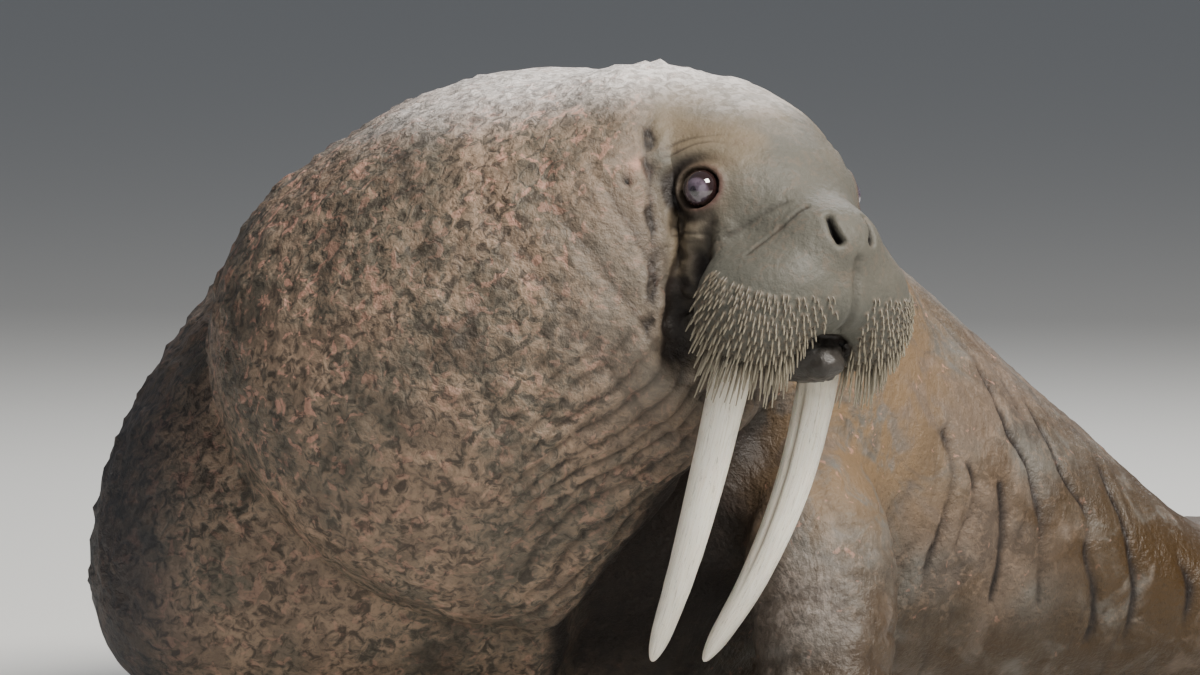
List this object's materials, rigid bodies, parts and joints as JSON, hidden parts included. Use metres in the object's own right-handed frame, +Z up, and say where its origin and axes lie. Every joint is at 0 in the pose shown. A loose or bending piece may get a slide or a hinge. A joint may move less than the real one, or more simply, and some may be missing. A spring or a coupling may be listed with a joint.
{
  "type": "walrus",
  "caption": "Life-size still model of an adult female walrus resting on the floor, fore body raised and neck bent to its left so the tusked head looks back over the shoulder",
  "frame": {"origin": "on the floor, on the flat of the belly just behind the chest", "axes": "+X runs towards the rump, -Y faces the side that the head looks out to, +Z is up"},
  "size_m": [2.2234, 1.699, 0.7843],
  "materials": {
    "skin": "matte",
    "muzzle": "matte",
    "flipper": "matte",
    "tusk": "satin",
    "eye": "gloss"
  },
  "bodies": {
    "root": {"pad_left": "muzzle", "pad_right": "muzzle", "head": "skin", "chin": "muzzle", "tusk_left": "tusk", "tusk_right": "tusk", "eye_left": "eye", "eye_right": "eye", "neck": "skin", "torso": "skin", "flipper_front_left": "flipper", "flipper_front_right": "flipper", "flipper_hind_left": "flipper", "flipper_hind_right": "flipper", "tail": "flipper"}
  },
  "joints": []
}
